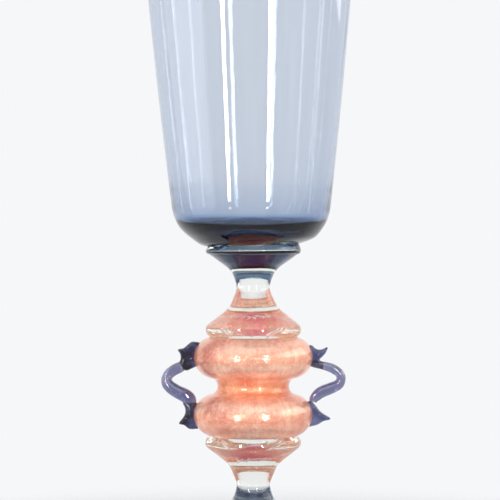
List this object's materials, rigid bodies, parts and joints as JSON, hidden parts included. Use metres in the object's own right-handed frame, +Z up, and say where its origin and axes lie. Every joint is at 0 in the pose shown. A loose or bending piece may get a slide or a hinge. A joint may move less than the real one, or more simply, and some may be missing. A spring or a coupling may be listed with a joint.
{
  "type": "champagne flute",
  "caption": "Hand-blown champagne flute with a tall tapered blue bowl on a stem of clear wafers and spools, a cased rose double knop, pulled side handles and a domed foot.",
  "frame": {"origin": "centre of the foot's underside, on the surface that the flute stands on", "axes": "+Z up along the stem's axis, +X towards the right handle with the front of the flute facing -Y"},
  "size_m": [0.075, 0.075, 0.2189],
  "materials": {
    "blue_glass": "fire-polished blown glass, steel blue, near black where the base is thick",
    "clear_glass": "fire-polished clear glass",
    "casing_glass": "fire-polished clear glass cased over colour",
    "gold_flecks": "crushed gold leaf in glass, finely speckled",
    "rose_glass": "milky salmon-rose glass",
    "foot_glass": "fire-polished blown glass, steel blue",
    "lilac_glass": "fire-polished lilac-blue glass rod",
    "crest_glass": "pinched navy glass, near black where it is thick"
  },
  "bodies": {
    "root": {"bowl": "blue_glass", "bowl_wafer": "clear_glass", "upper_spool": "clear_glass", "knop_casing": "casing_glass", "knop_gold_skin": "gold_flecks", "knop_core": "rose_glass", "lower_spool": "clear_glass", "foot_wafer": "clear_glass", "foot": "foot_glass", "left_handle_rod": "lilac_glass", "left_upper_crest": "crest_glass", "left_lower_crest": "crest_glass", "right_handle_rod": "lilac_glass", "right_upper_crest": "crest_glass", "right_lower_crest": "crest_glass"}
  },
  "joints": []
}
